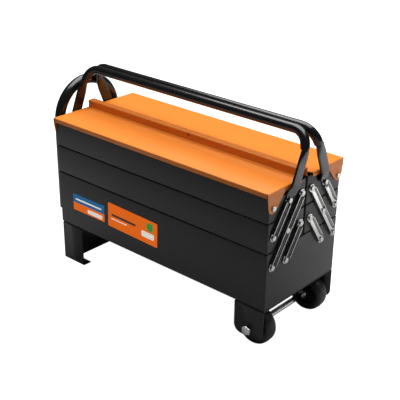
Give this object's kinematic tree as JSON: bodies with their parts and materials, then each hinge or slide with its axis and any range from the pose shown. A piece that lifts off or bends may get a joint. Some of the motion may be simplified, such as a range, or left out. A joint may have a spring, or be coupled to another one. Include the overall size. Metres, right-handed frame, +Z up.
{
  "type": "cantilever tool box on wheels",
  "caption": "Steel cantilever tool box with folding trays, hinged lids, twin handles, a pull handle, a foot stand and wheels.",
  "frame": {"origin": "on the ground under the middle of the bounding box", "axes": "+X along the box towards the wheel end, +Y to the rear, +Z up; the front is at -Y"},
  "size_m": [0.5459, 0.2098, 0.3769],
  "materials": {
    "black_paint": "semi-gloss black powder coat",
    "gloss_black": "gloss black enamel",
    "orange_paint": "semi-gloss orange powder coat",
    "zinc": "bright zinc plate",
    "bright_steel": "bright plated",
    "black_rubber": "smooth black rubber",
    "black_plastic": "moulded black plastic"
  },
  "bodies": {
    "base": {"base_tray": "black_paint", "foot_stand": "black_paint", "stand_rivets": "zinc", "wheel_bracket": "black_paint", "bracket_rivets": "zinc", "axle": "bright_steel", "axle_nut": "bright_steel", "axle_spacers": "zinc", "axle_collars": "zinc", "pull_handle": "black_paint", "pull_handle_plugs": "black_plastic", "pull_handle_spacers": "black_paint", "pull_handle_bolts": "zinc", "base_rivets": "zinc"},
    "front_wheel": {"front_tyre": "black_rubber", "front_hub": "black_plastic"},
    "rear_wheel": {"rear_tyre": "black_rubber", "rear_hub": "black_plastic"},
    "front_fold": {"front_long_link_left": "zinc", "front_long_link_right": "zinc"},
    "front_short_links": {"front_short_link_left": "zinc", "front_short_link_right": "zinc"},
    "front_mid": {"front_mid_tray": "black_paint", "front_mid_rivets": "zinc"},
    "front_top": {"front_top_tray": "black_paint", "front_top_rivets": "zinc", "front_lid_rivets": "zinc"},
    "front_grip": {"front_handle": "gloss_black", "front_handle_legs": "gloss_black", "front_handle_link_left": "zinc", "front_handle_link_right": "zinc"},
    "front_cover": {"front_lid": "orange_paint", "front_lid_flange": "orange_paint", "front_lid_ends": "orange_paint", "front_lid_rib": "orange_paint"},
    "rear_fold": {"rear_long_link_left": "zinc", "rear_long_link_right": "zinc"},
    "rear_short_links": {"rear_short_link_left": "zinc", "rear_short_link_right": "zinc"},
    "rear_mid": {"rear_mid_tray": "black_paint", "rear_mid_rivets": "zinc"},
    "rear_top": {"rear_top_tray": "black_paint", "rear_top_rivets": "zinc", "rear_lid_rivets": "zinc"},
    "rear_grip": {"rear_handle": "gloss_black", "rear_handle_legs": "gloss_black", "rear_handle_link_left": "zinc", "rear_handle_link_right": "zinc"},
    "rear_cover": {"rear_lid": "orange_paint", "rear_lid_flange": "orange_paint", "rear_lid_ends": "orange_paint"}
  },
  "joints": [
    {"name": "front_wheel_spin", "type": "hinge", "parent": "base", "child": "front_wheel", "pos_m": [0.2284, -0.074, 0.0345], "axis": [0, 1, 0], "continuous": true},
    {"name": "rear_wheel_spin", "type": "hinge", "parent": "base", "child": "rear_wheel", "pos_m": [0.2284, 0.074, 0.0345], "axis": [0, 1, 0], "continuous": true},
    {"name": "front_fold_open", "type": "hinge", "parent": "base", "child": "front_fold", "pos_m": [0.0104, -0.0863, 0.159], "axis": [1, 0, 0], "range_deg": [0, 66]},
    {"name": "front_short_link_turn", "type": "hinge", "parent": "base", "child": "front_short_links", "pos_m": [0.0104, -0.0498, 0.159], "axis": [1, 0, 0], "range_deg": [0, 66]},
    {"name": "front_mid_tray_turn", "type": "hinge", "parent": "front_fold", "child": "front_mid", "pos_m": [0.0104, -0.0498, 0.2127], "axis": [1, 0, 0], "range_deg": [-66, 0]},
    {"name": "front_top_tray_turn", "type": "hinge", "parent": "front_fold", "child": "front_top", "pos_m": [0.0104, -0.0133, 0.2664], "axis": [1, 0, 0], "range_deg": [-66, 0]},
    {"name": "front_handle_turn", "type": "hinge", "parent": "front_top", "child": "front_grip", "pos_m": [0.0104, -0.0498, 0.2664], "axis": [1, 0, 0], "range_deg": [0, 66]},
    {"name": "front_lid_open", "type": "hinge", "parent": "front_top", "child": "front_cover", "pos_m": [0.0104, -0.0887, 0.2646], "axis": [1, 0, 0], "range_deg": [0, 74]},
    {"name": "rear_fold_open", "type": "hinge", "parent": "base", "child": "rear_fold", "pos_m": [0.0104, 0.0863, 0.159], "axis": [-1, 0, 0], "range_deg": [0, 66]},
    {"name": "rear_short_link_turn", "type": "hinge", "parent": "base", "child": "rear_short_links", "pos_m": [0.0104, 0.0498, 0.159], "axis": [-1, 0, 0], "range_deg": [0, 66]},
    {"name": "rear_mid_tray_turn", "type": "hinge", "parent": "rear_fold", "child": "rear_mid", "pos_m": [0.0104, 0.0498, 0.2127], "axis": [-1, 0, 0], "range_deg": [-66, 0]},
    {"name": "rear_top_tray_turn", "type": "hinge", "parent": "rear_fold", "child": "rear_top", "pos_m": [0.0104, 0.0133, 0.2664], "axis": [-1, 0, 0], "range_deg": [-66, 0]},
    {"name": "rear_handle_turn", "type": "hinge", "parent": "rear_top", "child": "rear_grip", "pos_m": [0.0104, 0.0498, 0.2664], "axis": [-1, 0, 0], "range_deg": [0, 66]},
    {"name": "rear_lid_open", "type": "hinge", "parent": "rear_top", "child": "rear_cover", "pos_m": [0.0104, 0.0887, 0.2646], "axis": [-1, 0, 0], "range_deg": [0, 74]}
  ],
  "couplings": [
    {"joint": "front_short_link_turn", "follows": "front_fold_open", "ratio": 1},
    {"joint": "front_mid_tray_turn", "follows": "front_fold_open", "ratio": -1},
    {"joint": "front_top_tray_turn", "follows": "front_fold_open", "ratio": -1},
    {"joint": "front_handle_turn", "follows": "front_fold_open", "ratio": 1},
    {"joint": "rear_short_link_turn", "follows": "rear_fold_open", "ratio": 1},
    {"joint": "rear_mid_tray_turn", "follows": "rear_fold_open", "ratio": -1},
    {"joint": "rear_top_tray_turn", "follows": "rear_fold_open", "ratio": -1},
    {"joint": "rear_handle_turn", "follows": "rear_fold_open", "ratio": 1}
  ]
}
